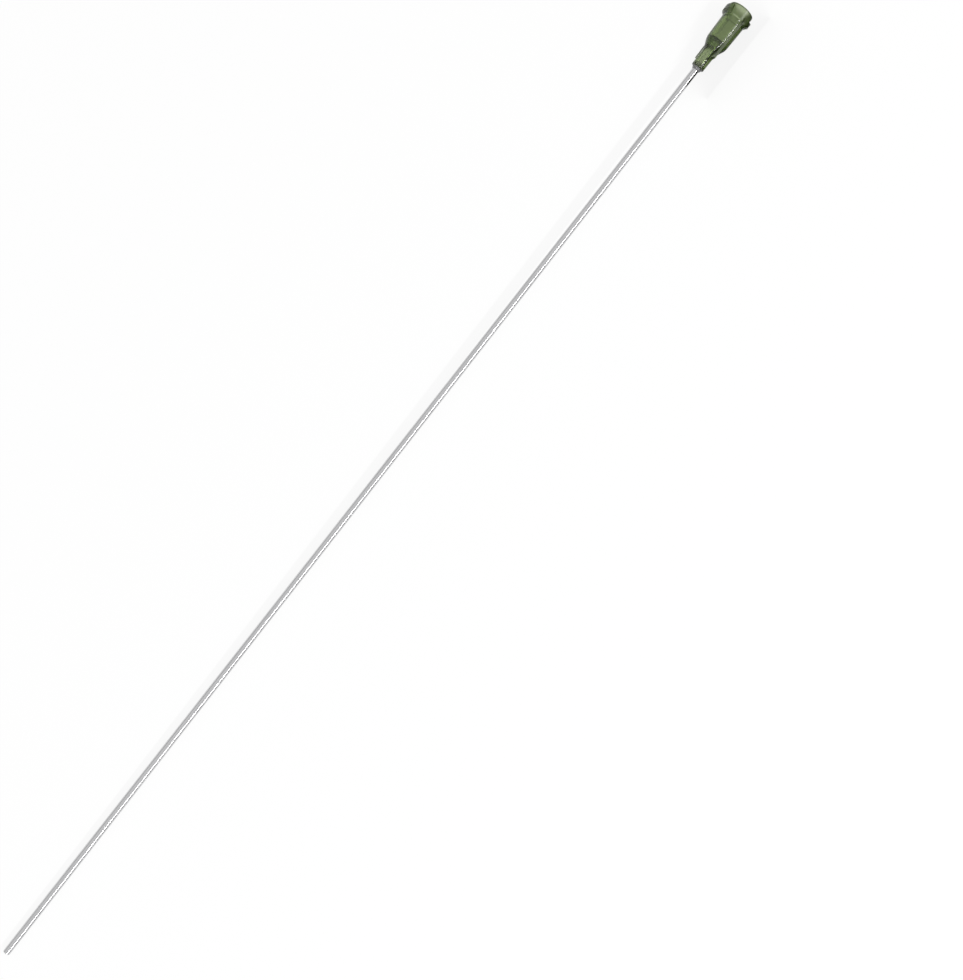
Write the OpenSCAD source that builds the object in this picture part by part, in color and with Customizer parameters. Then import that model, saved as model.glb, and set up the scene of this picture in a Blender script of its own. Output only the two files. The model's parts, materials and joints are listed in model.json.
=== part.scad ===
// Dispensing needle tip: a moulded luer-lock hub with two wings, a long blunt
// steel tube seated in it, and the bead of adhesive that bonds the two.
// Lengths are in millimetres. Each piece is drawn about its own upright axis,
// with the hub's neck end at z = 0 and the socket's mouth at the top, and is
// then laid down as the part comes to rest: along X, on its collar and its tip.

/* [Tube] */
// Outside diameter of the tube (14 gauge)
tube_od = 1.83; // [1.4:0.01:2.1]
// Thickness of the tube's wall
tube_wall = 0.155; // [0.08:0.005:0.25]
// Length of tube that stands out of the hub
tube_reach = 281.8; // [100:0.1:400]
// Width of the edge break round the blunt tip
tip_break = 0.03; // [0.01:0.01:0.06]

/* [Hub] */
// Length of the hub from the neck end to the mouth
hub_length = 18.2; // [17:0.1:24]
// Diameter of the neck at its free end
neck_end_d = 3.42; // [3.2:0.02:3.8]
// Diameter of the neck where the shoulder begins
neck_top_d = 3.54; // [3.3:0.02:3.9]
// Length of the neck
neck_length = 4.95; // [4.6:0.05:5.8]
// Radius of the rounding at the neck's free end
neck_round = 0.28; // [0.1:0.02:0.4]
// Height of the shoulder between the neck and the barrel
shoulder_height = 2.65; // [2:0.05:3.2]
// Diameter of the barrel above the shoulder
barrel_foot_d = 5.94; // [5.6:0.02:6.2]
// Diameter of the barrel under the collar
barrel_top_d = 6.32; // [6.2:0.02:6.5]

/* [Collar] */
// Diameter of the collar
collar_d = 6.7; // [6.6:0.02:6.9]
// Height of the collar
collar_height = 3.2; // [2.6:0.1:3.8]
// Radius of the rounding on the collar's top edge
collar_round = 0.5; // [0.2:0.05:0.7]

/* [Luer lock lugs] */
// Distance across the two lugs
lugs_across = 7.82; // [7.72:0.01:7.83]
// Angle that each lug spans
lug_span = 112; // [100:1:115]
// Advance of the lugs' thread in one turn
lug_lead = 5; // [4:0.1:6]
// Height of a lug along its crest
lug_crest = 1.3; // [0.9:0.05:1.5]
// Slope of the flank that a lug turns to the needle
lug_lower_flank = 48; // [25:1:55]
// Slope of the flank that a lug turns to the mouth
lug_upper_flank = 8; // [4:1:20]
// Distance from the mouth down to the middle of the lugs
lug_drop = 2.2; // [2:0.05:2.6]

/* [Luer socket] */
// Diameter of the socket at its mouth
mouth_d = 4.3; // [4.27:0.005:4.315]
// Taper of the socket: change of diameter for each unit of depth
socket_taper = 0.06; // [0.055:0.001:0.065]
// Depth of the tapered socket
socket_depth = 9.8; // [8.5:0.1:10.2]
// Width of the bevel round the mouth
mouth_bevel = 0.2; // [0.05:0.05:0.35]
// Height of the funnel between the socket and the tube
funnel_height = 0.7; // [0.4:0.05:0.9]
// Thickness of the ledge that the tube is pushed up to
ledge_thickness = 0.5; // [0.3:0.05:0.7]

/* [Wings] */
// Thickness of the two wings
wing_thickness = 0.75; // [0.5:0.05:1]
// Distance across the wings under the collar
wings_top = 6.54; // [6.4:0.02:6.6]
// Distance across the wings at their feet
wings_foot = 5.98; // [5.6:0.02:6.2]
// Height of the square foot above the neck end
square_foot = 2.3; // [1.8:0.1:3]
// Height of the slanted foot above the neck end, at the neck
slant_foot = 2.6; // [2:0.1:3.2]
// Height by which the slanted foot rises to the wing's edge
slant_rise = 1.4; // [0.6:0.1:2]
// Angle from a wing round to the middle of the next lug
wing_to_lug = 51; // [45:1:57]

/* [Adhesive] */
// Diameter of the adhesive pocket at the neck end
pocket_d = 2.5; // [2.3:0.05:2.7]
// Depth of the adhesive pocket
pocket_depth = 1.2; // [0.6:0.1:1.6]
// Height of the bead that stands out round the tube
bead_height = 0.85; // [0.4:0.05:1]
// Gap between the tube and the hub's bore, on each side
tube_fit = 0.02; // [0.01:0.005:0.03]

/* [Hidden] */
$fn = 96;
bend_steps = 8;
past = 1;

tube_r = tube_od / 2;
bore_r = tube_r - tube_wall;
bore_fit_r = tube_r + tube_fit;
lug_r = lugs_across / 2;
collar_r = collar_d / 2;
barrel_top_r = barrel_top_d / 2;
barrel_foot_r = barrel_foot_d / 2;
neck_top_r = neck_top_d / 2;
neck_end_r = neck_end_d / 2;
mouth_r = mouth_d / 2;
pocket_r = pocket_d / 2;

collar_z = hub_length - collar_height;
shoulder_z = neck_length + shoulder_height;
lug_z = hub_length - lug_drop;
floor_z = hub_length - socket_depth;
floor_r = mouth_r - socket_taper / 2 * (socket_depth - mouth_bevel);
ledge_z = floor_z - funnel_height;
seat_z = ledge_z - ledge_thickness;

// The part lies with its lugs level, so that it rests on the collar between
// them and on the tube's tip.
pitch = atan((collar_r - tube_r) / (collar_z + tube_reach));
axis_height = tube_r * cos(pitch) + tube_reach * sin(pitch);
middle_x = (hub_length - tube_reach) / 2 * cos(pitch);
wing_angle = 90 - wing_to_lug;

// A smooth bend from a to c that leaves and arrives along the lines through b.
function bend(a, b, c) =
    [for (i = [0 : bend_steps]) let (t = i / bend_steps)
        (1 - t) ^ 2 * a + 2 * t * (1 - t) * b + t ^ 2 * c];

// The point a share t of the way from a to b.
function along(a, b, t) = a + (b - a) * t;

// Lays a piece drawn upright down on the ground, its first wing's side up.
module laid() {
    translate([-middle_x, 0, axis_height])
        rotate([0, 90 - pitch, 0])
            rotate([0, 0, 180])
                children();
}

// Outline of the turned body: neck, shoulder, barrel and collar.
module body_outline() {
    neck_end = [neck_end_r, 0];
    neck_top = [neck_top_r, neck_length];
    barrel_foot = [barrel_foot_r, shoulder_z];
    barrel_top = [barrel_top_r, collar_z];
    rim = [collar_r, hub_length];
    polygon(concat(
        [[0, 0]],
        bend(neck_end - [neck_round, 0], neck_end, neck_end + [0, neck_round]),
        bend(along(neck_top, neck_end, 0.1), neck_top, along(neck_top, barrel_foot, 0.2)),
        bend(along(barrel_foot, neck_top, 0.3), barrel_foot, along(barrel_foot, barrel_top, 0.08)),
        [barrel_top, [collar_r, collar_z + (collar_r - barrel_top_r)]],
        bend(rim - [0, collar_round], rim, rim - [collar_round, 0]),
        [[0, hub_length]]
    ));
}

// Everything that is hollow in the hub, from the adhesive pocket to the mouth.
module waterway() {
    rotate_extrude()
        polygon([
            [0, -past],
            [pocket_r, -past],
            [pocket_r, 0],
            [bore_fit_r, pocket_depth],
            [bore_fit_r, seat_z],
            [bore_r, seat_z],
            [bore_r, ledge_z],
            [floor_r, floor_z],
            [mouth_r, hub_length - mouth_bevel],
            [mouth_r + mouth_bevel, hub_length],
            [mouth_r + mouth_bevel, hub_length + past],
            [0, hub_length + past]
        ]);
}

// One lug: a stretch of right-hand thread, steep towards the mouth and sloped
// towards the needle, trimmed to the lugs' outside diameter.
module lug() {
    inner_r = (barrel_top_r + mouth_r) / 2;
    outer_r = lug_r + lug_crest / 4;
    helix_angle = atan(lug_lead / (2 * PI * (lug_r + barrel_top_r) / 2));
    function lower(r) = -lug_crest / 2 - (lug_r - r) * tan(lug_lower_flank);
    function upper(r) = lug_crest / 2 + (lug_r - r) * tan(lug_upper_flank);
    intersection() {
        cylinder(r = lug_r, h = hub_length);
        translate([0, 0, lug_z])
            rotate([helix_angle, 0, 0])
                rotate([0, 0, -lug_span / 2])
                    rotate_extrude(angle = lug_span)
                        polygon([
                            [inner_r, lower(inner_r)],
                            [outer_r, lower(outer_r)],
                            [outer_r, upper(outer_r)],
                            [inner_r, upper(inner_r)]
                        ]);
    }
}

// One wing: a thin fin from the neck to the collar, over the given foot.
module wing(foot_z, rise) {
    foot_r = wings_foot / 2;
    top_r = wings_top / 2;
    rotate([90, 0, 0])
        translate([0, 0, -wing_thickness / 2])
            linear_extrude(wing_thickness)
                polygon([
                    [0, foot_z],
                    [neck_end_r, foot_z],
                    [foot_r, foot_z + rise],
                    [top_r, collar_z],
                    [0, collar_z]
                ]);
}

module luer_hub() {
    color([0.42, 0.49, 0.27])
        laid()
            difference() {
                union() {
                    rotate_extrude() body_outline();
                    for (side = [90, 270])
                        rotate([0, 0, side]) lug();
                    rotate([0, 0, wing_angle]) wing(slant_foot, slant_rise);
                    rotate([0, 0, wing_angle + 180]) wing(square_foot, 0);
                }
                waterway();
            }
}

module needle_tube() {
    color([0.78, 0.78, 0.8])
        laid()
            rotate_extrude()
                polygon([
                    [bore_r, -tube_reach],
                    [tube_r - tip_break, -tube_reach],
                    [tube_r, tip_break - tube_reach],
                    [tube_r, seat_z],
                    [bore_r, seat_z]
                ]);
}

module adhesive_bead() {
    color([0.5, 0.5, 0.5])
        laid()
            rotate_extrude()
                polygon(concat(
                    [[tube_r, pocket_depth], [bore_fit_r, pocket_depth]],
                    bend([pocket_r, 0], [pocket_r, -bead_height / 2], [tube_r, -bead_height])
                ));
}

luer_hub();
needle_tube();
adhesive_bead();
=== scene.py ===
# %% [markdown]
# # A dispensing needle tip
# A needle tip screws onto a syringe or a dispensing valve and lays down glue, flux or grease. It has
# three pieces: a moulded hub, a long steel tube, and the adhesive that holds the tube in the hub. The
# CAD model gives all three their real shape, so this lesson adds no shape to the tip. It is about
# surfaces and light: how a translucent plastic, a drawn steel and a bead of cured glue come to look
# like what they are.
#
# First the CAD model comes in, in metres, with each piece already in its place. Its box is written
# down, so that the end of the lesson can show that nothing has changed size.

# %% Load the CAD model
import bpy
import json
import math
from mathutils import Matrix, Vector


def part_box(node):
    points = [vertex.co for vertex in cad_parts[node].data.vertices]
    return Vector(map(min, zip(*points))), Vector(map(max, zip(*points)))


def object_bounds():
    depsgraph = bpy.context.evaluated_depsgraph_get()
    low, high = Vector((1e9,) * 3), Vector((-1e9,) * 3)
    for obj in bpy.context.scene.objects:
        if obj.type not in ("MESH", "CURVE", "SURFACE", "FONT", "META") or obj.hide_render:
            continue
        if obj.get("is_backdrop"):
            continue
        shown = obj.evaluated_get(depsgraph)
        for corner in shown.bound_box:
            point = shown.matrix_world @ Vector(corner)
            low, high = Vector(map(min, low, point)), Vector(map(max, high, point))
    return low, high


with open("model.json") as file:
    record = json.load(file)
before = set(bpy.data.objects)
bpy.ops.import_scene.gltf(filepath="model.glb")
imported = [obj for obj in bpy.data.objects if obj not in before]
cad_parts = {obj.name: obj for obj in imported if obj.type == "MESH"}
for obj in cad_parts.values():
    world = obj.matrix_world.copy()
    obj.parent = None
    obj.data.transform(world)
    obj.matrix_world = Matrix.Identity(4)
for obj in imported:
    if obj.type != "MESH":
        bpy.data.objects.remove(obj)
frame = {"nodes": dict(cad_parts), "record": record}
cad_box = [list(corner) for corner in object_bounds()]
MM = 0.001                  # metres
hub, tube, bead = (frame["nodes"][name] for name in ("luer_hub", "needle_tube", "adhesive_bead"))
for piece in (hub, tube, bead):
    low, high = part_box(piece.name)
    print(piece.name, [round((b - a) / MM, 2) for a, b in zip(low, high)], "mm,",
          len(piece.data.polygons), "faces")

# %% [markdown]
# ## The camera
# A part this long and thin is looked at from straight above, as on a copy stand. The camera could be
# pointed with a tracking constraint, but straight down with one turn about the upright is simpler and
# can't drift. The turn lays the tip from one corner of the picture to the other, which lets it be
# shown as large as possible.

# %% Set up the camera
CAMERA_PLACE = (15.35, -22.51, 391.4)       # mm, a little to one side of the tip's middle
CAMERA_TURN = -51.992                       # degrees about the upright
LENS = 57                                   # mm
camera_data = bpy.data.cameras.new("copy_stand")
camera_data.lens = LENS
camera_data.clip_start = 10 * MM
camera = bpy.data.objects.new("copy_stand", camera_data)
camera.location = [distance * MM for distance in CAMERA_PLACE]
camera.rotation_euler = (0, 0, math.radians(CAMERA_TURN))
bpy.context.collection.objects.link(camera)
bpy.context.scene.camera = camera
print("camera", round(camera.location.z / MM), "mm above the table")

# %% [markdown]
# ## A short way to write shaders
# A procedural finish is arithmetic on things that change over a surface, such as a noise or a
# position. Each step of that arithmetic is a node, and nodes wired by hand soon hide the idea. Here a
# small class wraps a socket and overloads Python's operators, so that `1 - wear * 0.5` adds its two
# Math nodes by itself. Colours and vectors don't go through Math nodes, which would turn them grey:
# they go through Mix and Vector Math.

# %% Sockets that do arithmetic
class Field:
    """An output socket, for a value that changes over a surface."""

    def __init__(self, shader, socket):
        self.shader = shader
        self.socket = socket

    def __add__(self, other):
        return self.shader.math("ADD", self, other)

    def __sub__(self, other):
        return self.shader.math("SUBTRACT", self, other)

    def __rsub__(self, other):
        return self.shader.math("SUBTRACT", other, self)

    def __mul__(self, other):
        return self.shader.math("MULTIPLY", self, other)

    def __abs__(self):
        return self.shader.math("ABSOLUTE", self)

    __radd__ = __add__
    __rmul__ = __mul__

    def between(self, low, high):
        """0 where the field is at or under low, 1 where it is at or over high."""
        return self.shader.node("ShaderNodeMapRange", {"clamp": True},
                                {"Value": self, "From Min": low, "From Max": high})

# %% [markdown]
# A shader is a tree of nodes, and the trees of a material and of the world work alike. So one class
# serves both. Its `node` method adds any kind of node: the settings first, because they decide which
# sockets a node has, and then the values or the fields for its inputs.

# %% A tree of nodes
class Shader:
    """A node tree that starts empty."""

    def __init__(self, tree):
        self.tree = tree
        tree.nodes.clear()

    def node(self, kind, settings=None, inputs=None, out=0):
        """Adds a node and gives the output that is asked for, if it has any."""
        node = self.tree.nodes.new(kind)
        for key, value in (settings or {}).items():
            setattr(node, key, value)
        for key, value in (inputs or {}).items():
            if isinstance(value, Field):
                self.tree.links.new(value.socket, node.inputs[key])
            else:
                node.inputs[key].default_value = value
        return Field(self, node.outputs[out]) if node.outputs else None

    def math(self, operation, *values):
        """Arithmetic on plain numbers and fields of numbers."""
        return self.node("ShaderNodeMath", {"operation": operation}, dict(enumerate(values)))

    def mix(self, amount, a, b):
        """Colour a where amount is 0, colour b where it is 1."""
        return self.node("ShaderNodeMix", {"data_type": "RGBA"}, {0: amount, 6: a, 7: b}, out=2)

# %% [markdown]
# A finish is the shader of one material. Each piece of the tip is one stuff all over, so it wears
# one finish. Where a finish changes over a piece, a mask inside it does that, which leaves the mesh
# as the CAD model has it.

# %% A finish for a piece
class Finish(Shader):
    """A material."""

    def __init__(self, name):
        self.material = bpy.data.materials.new(name)
        self.material.use_nodes = True
        super().__init__(self.material.node_tree)

    def shade(self, surface, volume=None):
        """Joins the surface, and a volume if there is one, to the material's output."""
        outputs = {"Surface": surface}
        if volume:
            outputs["Volume"] = volume
        self.node("ShaderNodeOutputMaterial", None, outputs)


def dress(piece, finish):
    """Gives a piece one finish all over."""
    piece.data.materials.clear()
    piece.data.materials.append(finish.material)
    print(piece.name, "wears", finish.material.name, "-", len(finish.tree.nodes), "nodes")

# %% [markdown]
# ## The tube
# The tube is stainless steel, drawn through dies until it is 1.83 mm thick. Drawing leaves the
# surface bright but not a mirror: fine lines run along it, some a little duller than others, and
# here and there a longer scratch. A picture of brushed steel could be wrapped round it, but noise
# that is stretched up to 250 times along the tube gives the same lines at any distance and needs no
# unwrapping. Three helpers do that for every finish here, with all sizes in millimetres.

# %% Noise and relief in millimetres
def place(finish, stretch=(1, 1, 1)):
    """Position on the object in millimetres, squeezed or stretched along X, Y and Z."""
    return finish.node("ShaderNodeVectorMath", {"operation": "MULTIPLY"},
                       {0: finish.node("ShaderNodeTexCoord", out="Object"),
                        1: [s / MM for s in stretch]})


def noise(finish, size, stretch=(1, 1, 1), detail=2):
    """Cloudy noise from 0 to 1 whose blotches are about `size` mm wide."""
    return finish.node("ShaderNodeTexNoise", None,
                       {"Vector": place(finish, stretch), "Scale": 1 / size, "Detail": detail})


def bump(finish, height, depth, under=None):
    """Tilts the surface as if the field were relief, `depth` mm from 0 to 1."""
    inputs = {"Height": height, "Distance": depth * MM, "Strength": 1}
    if under:
        inputs["Normal"] = under
    return finish.node("ShaderNodeBump", None, inputs)

# %% [markdown]
# The steel is a bare metal with those lines in it. They show in two ways: a line is a little paler
# or duller than the next, and each has a relief of less than a thousandth of a millimetre, which is
# enough to break the edge of a reflection. A patch here and there is dulled by handling.

# %% Drawn stainless steel
DULL_STEEL = (0.57, 0.57, 0.58, 1)
BRIGHT_STEEL = (0.70, 0.70, 0.705, 1)
LINE_DEPTH = 0.0007                 # mm
steel = Finish("drawn_stainless")
fine_lines = noise(steel, 0.09, stretch=(0.004, 1, 1))
broad_lines = noise(steel, 0.35, stretch=(0.006, 1, 1), detail=3)
lines = fine_lines * 0.6 + broad_lines * 0.4
scratches = noise(steel, 0.05, stretch=(0.02, 1, 1), detail=1).between(0.68, 0.74)
handling = noise(steel, 9, detail=4).between(0.45, 0.75)
steel.shade(steel.node("ShaderNodeBsdfPrincipled", None, {
    "Base Color": steel.mix(lines.between(0.35, 0.65), DULL_STEEL, BRIGHT_STEEL),
    "Metallic": 1.0,
    "Roughness": 0.10 + lines * 0.12 + handling * 0.08 + scratches * 0.12,
    "Normal": bump(steel, lines + scratches * 0.3, LINE_DEPTH)}))
dress(tube, steel)

# %% [markdown]
# ## The hub
# The hub is polypropylene, dyed olive right through and left translucent, so that the worker can see
# how far the glue has come. Its colour isn't on its surface. Light goes in, loses a little with each
# millimetre, and comes out again, so the thin wall of the socket looks light and the solid shoulder
# dark. Painting that gradient would only look right from one side. Instead the surface refracts, and
# the inside absorbs. Blender's Volume Absorption node takes its Density, times how far its Color is
# from white, out of the light on each metre. Both are worked out here from what one millimetre of
# the plastic lets through.

# %% What one millimetre of the plastic lets through
PP_PASSES = (0.59, 0.66, 0.47)      # the share of red, green and blue
DEEPEST = 0.98                      # how far from white the node's Color goes, where most is lost
loss = [-math.log(share) / MM for share in PP_PASSES]       # per metre
density = max(loss) / DEEPEST
dye_colour = [1 - k / density for k in loss] + [1]
print("left after 1 mm:", PP_PASSES, "after 3 mm:", [round(share ** 3, 2) for share in PP_PASSES])

# %% [markdown]
# The collar is the part that the fingers turn, and the mould is left matte there. The two wings lie
# where the halves of the mould meet, and their crests are made a little duller. Their crests also get
# a painted highlight: a paler colour there stands in for the line of light that a wing's rounded edge
# catches. Both could be marked by hand on the mesh, but measuring is simpler and holds if the hub
# moves: the collar is all that lies within its height of the mouth, and a crest is all that lies at a
# wing's reach from the axis and within half its thickness. The axis comes from the record of the bore.

# %% Where the collar and the wings are
COLLAR_HEIGHT = 3.2                 # mm
WING_REACH = 2.93                   # mm from the axis, just under the lowest stretch of a crest
HALF_WING = 0.377                   # mm, half the thickness and a hair more
WING_LEAN = math.radians(39)        # from straight up towards -Y


def parts(vector, letters="XYZ"):
    """The X, the Y and the Z of a vector field, or those that are asked for."""
    return [vector.shader.node("ShaderNodeSeparateXYZ", None, {0: vector}, out=letter)
            for letter in letters]


olive = Finish("translucent_olive")
bore = next(mount for mount in frame["record"]["mounts"] if mount["name"] == "flow_bore")
rise = bore["axis"][2] / bore["axis"][0]
axis_z = (bore["pos_m"][2] - bore["pos_m"][0] * rise) / MM
x, y, z = parts(place(olive))
above = z - axis_z - x * rise                                       # straight up from the axis
outward = above * math.cos(WING_LEAN) - y * math.sin(WING_LEAN)     # from the axis along a wing
aside = above * math.sin(WING_LEAN) + y * math.cos(WING_LEAN)       # across the wings
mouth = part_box("luer_hub")[1].x / MM
collar_foot = mouth - COLLAR_HEIGHT
collar = x.between(collar_foot - 0.05, collar_foot + 0.1)
# The crest mask carries a painted highlight as well as a duller finish.
crest_with_painted_highlight = (abs(outward).between(WING_REACH, WING_REACH + 0.01)
         * (1 - abs(aside).between(HALF_WING - 0.002, HALF_WING)) * (1 - collar))
print("the axis rises", round(rise * 1000, 1), "mm in a metre; the collar starts at x",
      round(collar_foot, 1), "mm")

# %% [markdown]
# A moulded surface is smooth but never perfect. It shows the faint ripple of the mould's polish, a
# fine orange peel, and a haze where the plastic cooled. So the surface is a mix of two: a clear one
# that refracts, and a little of a cloudy one that sends light back at once. The collar and the crests
# have more of the cloudy one, and are rougher. On the crests the cloudy one is paler, which is a
# painted highlight.

# %% Olive polypropylene
DEEP_CLEAR, PALE_CLEAR = (0.92, 0.94, 0.86, 1), (0.97, 0.98, 0.93, 1)
DEEP_CLOUDY, PALE_CLOUDY = (0.26, 0.32, 0.15, 1), (0.32, 0.38, 0.20, 1)
# The paler cloudy colour on the crests is a painted highlight.
CREST_PAINTED_HIGHLIGHT = (0.36, 0.40, 0.30, 1)
PP_IOR = 1.49
RIPPLE_DEPTH, PEEL_DEPTH = 0.0012, 0.00022      # mm
ripple = noise(olive, 1.3)
peel = noise(olive, 0.16)
haze = noise(olive, 2.4, detail=4)
grain = noise(olive, 0.05, detail=1)
relief = bump(olive, ripple, RIPPLE_DEPTH, under=bump(olive, peel + collar * grain, PEEL_DEPTH))
# On the crests the added cloudy share, in its paler colour, is a painted highlight; the added
# roughness makes them duller.
roughness = 0.10 + haze * 0.06 + collar * 0.16 + crest_with_painted_highlight * 0.20
cloudiness = 0.05 + haze * 0.07 + collar * 0.05 + crest_with_painted_highlight * 0.24
clear = olive.node("ShaderNodeBsdfPrincipled", None, {
    "Base Color": olive.mix(haze, DEEP_CLEAR, PALE_CLEAR),
    "Roughness": roughness, "IOR": PP_IOR, "Transmission Weight": 1.0, "Normal": relief})
cloudy = olive.node("ShaderNodeBsdfPrincipled", None, {
    # Paler on the crests: a painted highlight.
    "Base Color": olive.mix(crest_with_painted_highlight, olive.mix(haze, DEEP_CLOUDY, PALE_CLOUDY), CREST_PAINTED_HIGHLIGHT),
    "Roughness": roughness, "IOR": PP_IOR, "Normal": relief})
olive.shade(
    olive.node("ShaderNodeMixShader", None, {0: cloudiness, 1: clear, 2: cloudy}),
    volume=olive.node("ShaderNodeVolumeAbsorption", None, {"Color": dye_colour, "Density": density}))
dress(hub, olive)

# %% [markdown]
# ## The adhesive
# A ring of adhesive fills the pocket at the neck's end and stands out as a small bead round the tube.
# It is put on as a drop and cured with light, so it is glassy and a little lumpy. White specks in its
# colour are painted glints, and the same specks also dent its surface a little.

# %% Cured adhesive
SPECK_GAP = 0.25                   # mm between two specks
# The second colour, white, is for the specks, which are painted glints.
GLUE_GREY, PAINTED_GLINT_WHITE = (0.66, 0.66, 0.67, 1), (0.95, 0.95, 0.95, 1)
GLUE_DYE = (0.3, 0.3, 0.32, 1)
GLUE_DENSITY = 450.0                # per metre
LUMP_DEPTH, SPECK_DEPTH = 0.12, 0.02           # mm
glue = Finish("cured_adhesive")
lumps = noise(glue, 0.9)
from_speck = glue.node("ShaderNodeTexVoronoi", None,
                        {"Vector": place(glue), "Scale": 1 / SPECK_GAP}, out="Distance")
# The specks are white dots painted into the colour as glints, and they also dent the surface.
specks = 1 - from_speck.between(0.12, 0.2)
glue.shade(
    glue.node("ShaderNodeBsdfPrincipled", None, {
        "Base Color": glue.mix(specks, GLUE_GREY, PAINTED_GLINT_WHITE),
        "Roughness": 0.06 + lumps * 0.08,
        "IOR": 1.5,
        "Transmission Weight": 0.75,
        "Normal": bump(glue, lumps, LUMP_DEPTH, under=bump(glue, specks, SPECK_DEPTH))}),
    volume=glue.node("ShaderNodeVolumeAbsorption", None, {"Color": GLUE_DYE, "Density": GLUE_DENSITY}))
dress(bead, glue)

# %% [markdown]
# ## The table
# The tip lies on a plain white table. A lit white surface renders a little grey, and more light would
# bleach the steel. So what the camera sees of the table is for the most part its own white, and the
# rest is paint that takes the light and keeps the tip's soft shadow. Rays that bounce off the steel or
# pass through the plastic see some of that white too.

# %% A white table
TABLE_WIDTH = 6                     # metres
WHITE_PAINT = (0.92, 0.92, 0.92, 1)
SEEN_WHITE = 0.88                   # the share of its own white that the camera sees
MIRRORED_WHITE = 0.45               # and that steel and plastic show


def rays(shader, *kinds):
    """1 where the ray that arrives is of one of these kinds, and 0 elsewhere."""
    found, *others = [shader.node("ShaderNodeLightPath", out=f"Is {kind} Ray") for kind in kinds]
    for other in others:
        found = shader.math("MAXIMUM", found, other)
    return found


bpy.ops.mesh.primitive_plane_add(size=TABLE_WIDTH, location=(0, 0, 0))
table = bpy.context.object
table.name = "table"
white = Finish("white_table")
seen = rays(white, "Camera")
mirrored = rays(white, "Glossy", "Transmission")
own_white = seen * SEEN_WHITE + (1 - seen) * mirrored * MIRRORED_WHITE
white.shade(white.node("ShaderNodeMixShader", None, {
    0: own_white,
    1: white.node("ShaderNodeBsdfDiffuse", None, {"Color": WHITE_PAINT}),
    2: white.node("ShaderNodeEmission", None, {"Color": (1, 1, 1, 1), "Strength": 1.0})}))
dress(table, white)
table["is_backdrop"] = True

# %% [markdown]
# ## A dark card
# Something clear and glossy loses its edge on a white table, because light comes in from every side.
# In a studio a dark card is stood close beside such a thing: the plastic shows the card along its
# flank, and its roundness comes back. In a row of tips the next hub does the same. The card stands
# only beside the hub, so that the steel keeps its even grey, and the camera doesn't see it.

# %% A dark card beside the hub
CARD_LENGTH = 26                    # mm, somewhat longer than the hub
CARD_HEIGHT = 9.2                   # mm, somewhat higher than the hub
CARD_GAP = 6.6                      # mm from the hub's axis
CARD_SETBACK = 9                    # mm from the hub's mouth to the middle of the card
CARD_GREEN = (0.03, 0.035, 0.025, 1)
bpy.ops.mesh.primitive_plane_add(
    size=1, rotation=(math.radians(90), 0, 0),
    location=((mouth - CARD_SETBACK) * MM, -CARD_GAP * MM, CARD_HEIGHT / 2 * MM))
card = bpy.context.object
card.name = "dark_card"
card.scale = (CARD_LENGTH * MM, CARD_HEIGHT * MM, 1)
card.visible_camera = False
dark = Finish("dark_card")
dark.shade(dark.node("ShaderNodeBsdfDiffuse", None, {"Color": CARD_GREEN}))
dress(card, dark)
card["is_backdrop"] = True

# %% [markdown]
# ## The lights
# Two lights are enough. A soft room fills every side, bright overhead and dim near the table, which
# gives the round tube darker edges. A picture of a real room could be wrapped round the scene, but a
# plain gradient shows no windows on the steel. The camera sees the room as plain white, and so do
# rays that come through the plastic.

# %% A soft room
LOW_WALLS = 0.29                    # the room's brightness near the table, where 1 is white
OVERHEAD = 0.48                     # what is added overhead
FAR_SIDE = 0.07                     # what is added towards +Y, and taken off towards -Y
room = bpy.data.worlds.new("room")
room.use_nodes = True
walls = Shader(room.node_tree)
side, up = parts(walls.node("ShaderNodeTexCoord", out="Generated"), "YZ")
brightness = LOW_WALLS + up.between(0.0, 0.6) * OVERHEAD + side * FAR_SIDE
plain = rays(walls, "Camera", "Transmission")
walls.node("ShaderNodeOutputWorld", None, {"Surface": walls.node(
    "ShaderNodeBackground", None,
    {"Color": (1, 1, 1, 1), "Strength": plain + (1 - plain) * brightness})})
bpy.context.scene.world = room
print("the room is", LOW_WALLS, "bright near the table and", LOW_WALLS + OVERHEAD, "overhead")

# %% [markdown]
# The second light is the one that draws. A long, narrow box parallel to the tip is mirrored by a
# round rod as one crisp line from end to end, and that line is what tells the eye that the steel is
# round and the plastic glossy. A small lamp would only give a dot.

# %% A strip of light
def softbox(name, distance, lean, size, radiance):
    """A rectangular light that faces the tip, `lean` degrees from overhead towards -Y."""
    light = bpy.data.lights.new(name, "AREA")
    light.shape = "RECTANGLE"
    light.size, light.size_y = size
    light.energy = 4 * size[0] * size[1] * radiance     # watts count over four times the area
    lamp = bpy.data.objects.new(name, light)
    lean = math.radians(lean)
    lamp.location = (0, -distance * math.sin(lean), distance * math.cos(lean))
    lamp.rotation_euler = (lean, 0, 0)
    bpy.context.collection.objects.link(lamp)
    print(name, round(light.energy, 1), "W")


softbox("strip", distance=0.9, lean=46, size=(1.6, 0.07), radiance=13.0)

# %% [markdown]
# ## Colour and size
# The Standard view shows each colour as it was written. The last lines write the CAD model's box
# and the dressed model's box side by side: they have to agree.

# %% Finish
bpy.context.scene.view_settings.view_transform = "Standard"
boxes = {"cad": cad_box, "visual": [list(corner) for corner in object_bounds()]}
for name, (low, high) in boxes.items():
    print(name, [round((b - a) / MM, 2) for a, b in zip(low, high)], "mm")
